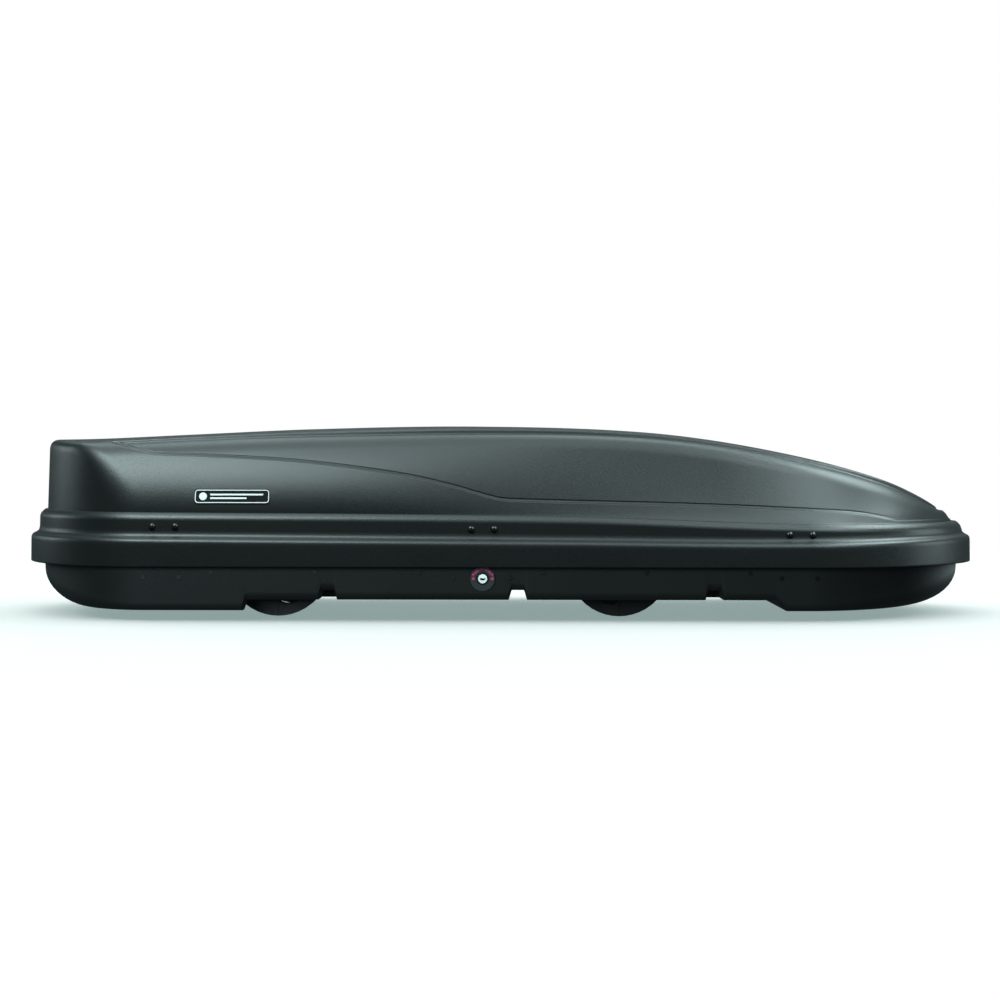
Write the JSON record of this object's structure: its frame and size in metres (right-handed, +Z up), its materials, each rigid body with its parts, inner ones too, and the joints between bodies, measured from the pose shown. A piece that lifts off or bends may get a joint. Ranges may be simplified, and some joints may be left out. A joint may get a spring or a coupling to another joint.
{
  "type": "roof cargo box",
  "caption": "Long low roof cargo box for a car: a tapered side-opening lid on a shallow shell, with a key lock, lid struts and screw-driven cross-bar clamps.",
  "frame": {"origin": "middle of the box's footprint, at the lowest point of the clamp jaws", "axes": "+X the way the car drives, along the box; +Y the car's left, where the lid is hinged; +Z up"},
  "size_m": [1.943, 0.74, 0.3796],
  "materials": {
    "lid_grey": "dark grey thermoformed ABS with a fine satin grain",
    "base_black": "black thermoformed ABS with a fine grain",
    "clamp_black": "black moulded glass-filled nylon",
    "knob_grey": "dark grey moulded plastic",
    "steel": "plain steel",
    "zinc": "zinc-plated steel",
    "ring_grey": "grey plastic with red printing",
    "badge_black": "gloss black plate with white printing"
  },
  "bodies": {
    "base": {"base_shell": "base_black", "rail_left": "steel", "rail_right": "steel", "lock_ring": "ring_grey", "lock_housing": "clamp_black", "lock_bar_guide": "zinc", "hinge_leaf_rear": "zinc", "hinge_leaf_middle": "zinc", "hinge_leaf_front": "zinc", "hinge_pin_rear": "steel", "hinge_pin_middle": "steel", "hinge_pin_front": "steel", "strut_foot_front": "zinc", "strut_foot_rear": "zinc", "clamp_body_front_left": "clamp_black", "clamp_body_front_right": "clamp_black", "clamp_body_rear_left": "clamp_black", "clamp_body_rear_right": "clamp_black", "clamp_cover_front_left": "clamp_black", "clamp_cover_front_right": "clamp_black", "clamp_cover_rear_left": "clamp_black", "clamp_cover_rear_right": "clamp_black"},
    "lid": {"lid_shell": "lid_grey", "badge": "badge_black", "hinge_strap_rear": "zinc", "hinge_strap_middle": "zinc", "hinge_strap_front": "zinc", "striker_rear": "zinc", "striker_middle": "zinc", "striker_front": "zinc", "strut_head_front": "zinc", "strut_head_rear": "zinc"},
    "lock_barrel": {"lock_barrel": "steel", "lock_cam": "zinc"},
    "lock_bar": {"lock_bar": "steel", "latch_hook_rear": "steel", "latch_hook_middle": "steel", "latch_hook_front": "steel"},
    "strut_tube_front": {"strut_tube_front": "base_black"},
    "strut_rod_front": {"strut_rod_front": "steel"},
    "strut_tube_rear": {"strut_tube_rear": "base_black"},
    "strut_rod_rear": {"strut_rod_rear": "steel"},
    "clamp_knob_front_left": {"clamp_knob_front_left": "knob_grey"},
    "clamp_yoke_front_left": {"clamp_yoke_front_left": "steel"},
    "jaw_inner_front_left": {"jaw_inner_front_left": "clamp_black"},
    "jaw_outer_front_left": {"jaw_outer_front_left": "clamp_black"},
    "clamp_knob_front_right": {"clamp_knob_front_right": "knob_grey"},
    "clamp_yoke_front_right": {"clamp_yoke_front_right": "steel"},
    "jaw_inner_front_right": {"jaw_inner_front_right": "clamp_black"},
    "jaw_outer_front_right": {"jaw_outer_front_right": "clamp_black"},
    "clamp_knob_rear_left": {"clamp_knob_rear_left": "knob_grey"},
    "clamp_yoke_rear_left": {"clamp_yoke_rear_left": "steel"},
    "jaw_inner_rear_left": {"jaw_inner_rear_left": "clamp_black"},
    "jaw_outer_rear_left": {"jaw_outer_rear_left": "clamp_black"},
    "clamp_knob_rear_right": {"clamp_knob_rear_right": "knob_grey"},
    "clamp_yoke_rear_right": {"clamp_yoke_rear_right": "steel"},
    "jaw_inner_rear_right": {"jaw_inner_rear_right": "clamp_black"},
    "jaw_outer_rear_right": {"jaw_outer_rear_right": "clamp_black"}
  },
  "joints": [
    {"name": "lid_hinge", "type": "hinge", "parent": "base", "child": "lid", "pos_m": [0, 0.355, 0.112], "axis": [-1, 0, 0], "range_deg": [0, 50]},
    {"name": "lock_turn", "type": "hinge", "parent": "base", "child": "lock_barrel", "pos_m": [-0.033, -0.33, 0.082], "axis": [0, 1, 0], "range_deg": [0, 91]},
    {"name": "lock_bar_slide", "type": "slide", "parent": "base", "child": "lock_bar", "axis": [1, 0, 0], "range_m": [0, 0.034]},
    {"name": "strut_tilt_front", "type": "hinge", "parent": "base", "child": "strut_tube_front", "pos_m": [0.48, 0.20884, 0.07826], "axis": [-1, 0, 0], "range_deg": [0, 25.1]},
    {"name": "strut_stroke_front", "type": "slide", "parent": "strut_tube_front", "child": "strut_rod_front", "axis": [0, 0.3827, 0.9239], "range_m": [0, 0.0915]},
    {"name": "strut_tilt_rear", "type": "hinge", "parent": "base", "child": "strut_tube_rear", "pos_m": [-0.61, 0.20884, 0.07826], "axis": [-1, 0, 0], "range_deg": [0, 25.1]},
    {"name": "strut_stroke_rear", "type": "slide", "parent": "strut_tube_rear", "child": "strut_rod_rear", "axis": [0, 0.3827, 0.9239], "range_m": [0, 0.0915]},
    {"name": "knob_turn_front_left", "type": "hinge", "parent": "base", "child": "clamp_knob_front_left", "pos_m": [0.237, 0.19, 0.09], "axis": [0, 0, 1], "range_deg": [0, 720]},
    {"name": "yoke_drop_front_left", "type": "slide", "parent": "base", "child": "clamp_yoke_front_left", "axis": [0, 0, -1], "range_m": [0, 0.0119]},
    {"name": "jaw_inner_swing_front_left", "type": "hinge", "parent": "base", "child": "jaw_inner_front_left", "pos_m": [0.168, 0.19, 0.062], "axis": [0, 1, 0], "range_deg": [0, 35.1]},
    {"name": "jaw_outer_swing_front_left", "type": "hinge", "parent": "base", "child": "jaw_outer_front_left", "pos_m": [0.306, 0.19, 0.062], "axis": [0, -1, 0], "range_deg": [0, 35.1]},
    {"name": "knob_turn_front_right", "type": "hinge", "parent": "base", "child": "clamp_knob_front_right", "pos_m": [0.237, -0.19, 0.09], "axis": [0, 0, 1], "range_deg": [0, 720]},
    {"name": "yoke_drop_front_right", "type": "slide", "parent": "base", "child": "clamp_yoke_front_right", "axis": [0, 0, -1], "range_m": [0, 0.0119]},
    {"name": "jaw_inner_swing_front_right", "type": "hinge", "parent": "base", "child": "jaw_inner_front_right", "pos_m": [0.168, -0.19, 0.062], "axis": [0, 1, 0], "range_deg": [0, 35.1]},
    {"name": "jaw_outer_swing_front_right", "type": "hinge", "parent": "base", "child": "jaw_outer_front_right", "pos_m": [0.306, -0.19, 0.062], "axis": [0, -1, 0], "range_deg": [0, 35.1]},
    {"name": "knob_turn_rear_left", "type": "hinge", "parent": "base", "child": "clamp_knob_rear_left", "pos_m": [-0.44, 0.19, 0.09], "axis": [0, 0, 1], "range_deg": [0, 720]},
    {"name": "yoke_drop_rear_left", "type": "slide", "parent": "base", "child": "clamp_yoke_rear_left", "axis": [0, 0, -1], "range_m": [0, 0.0119]},
    {"name": "jaw_inner_swing_rear_left", "type": "hinge", "parent": "base", "child": "jaw_inner_rear_left", "pos_m": [-0.371, 0.19, 0.062], "axis": [0, -1, 0], "range_deg": [0, 35.1]},
    {"name": "jaw_outer_swing_rear_left", "type": "hinge", "parent": "base", "child": "jaw_outer_rear_left", "pos_m": [-0.509, 0.19, 0.062], "axis": [0, 1, 0], "range_deg": [0, 35.1]},
    {"name": "knob_turn_rear_right", "type": "hinge", "parent": "base", "child": "clamp_knob_rear_right", "pos_m": [-0.44, -0.19, 0.09], "axis": [0, 0, 1], "range_deg": [0, 720]},
    {"name": "yoke_drop_rear_right", "type": "slide", "parent": "base", "child": "clamp_yoke_rear_right", "axis": [0, 0, -1], "range_m": [0, 0.0119]},
    {"name": "jaw_inner_swing_rear_right", "type": "hinge", "parent": "base", "child": "jaw_inner_rear_right", "pos_m": [-0.371, -0.19, 0.062], "axis": [0, -1, 0], "range_deg": [0, 35.1]},
    {"name": "jaw_outer_swing_rear_right", "type": "hinge", "parent": "base", "child": "jaw_outer_rear_right", "pos_m": [-0.509, -0.19, 0.062], "axis": [0, 1, 0], "range_deg": [0, 35.1]}
  ],
  "couplings": [
    {"joint": "lock_turn", "follows": "lock_bar_slide", "rad_per_m": 46.2},
    {"joint": "strut_tilt_front", "follows": "lid_hinge", "ratio": 0.5},
    {"joint": "strut_stroke_front", "follows": "lid_hinge", "m_per_rad": 0.1037},
    {"joint": "strut_tilt_rear", "follows": "lid_hinge", "ratio": 0.5},
    {"joint": "strut_stroke_rear", "follows": "lid_hinge", "m_per_rad": 0.1037},
    {"joint": "yoke_drop_front_left", "follows": "knob_turn_front_left", "m_per_rad": 0.000943},
    {"joint": "jaw_inner_swing_front_left", "follows": "knob_turn_front_left", "ratio": 0.04861},
    {"joint": "jaw_outer_swing_front_left", "follows": "knob_turn_front_left", "ratio": 0.04861},
    {"joint": "yoke_drop_front_right", "follows": "knob_turn_front_right", "m_per_rad": 0.000943},
    {"joint": "jaw_inner_swing_front_right", "follows": "knob_turn_front_right", "ratio": 0.04861},
    {"joint": "jaw_outer_swing_front_right", "follows": "knob_turn_front_right", "ratio": 0.04861},
    {"joint": "yoke_drop_rear_left", "follows": "knob_turn_rear_left", "m_per_rad": 0.000943},
    {"joint": "jaw_inner_swing_rear_left", "follows": "knob_turn_rear_left", "ratio": 0.04861},
    {"joint": "jaw_outer_swing_rear_left", "follows": "knob_turn_rear_left", "ratio": 0.04861},
    {"joint": "yoke_drop_rear_right", "follows": "knob_turn_rear_right", "m_per_rad": 0.000943},
    {"joint": "jaw_inner_swing_rear_right", "follows": "knob_turn_rear_right", "ratio": 0.04861},
    {"joint": "jaw_outer_swing_rear_right", "follows": "knob_turn_rear_right", "ratio": 0.04861}
  ]
}
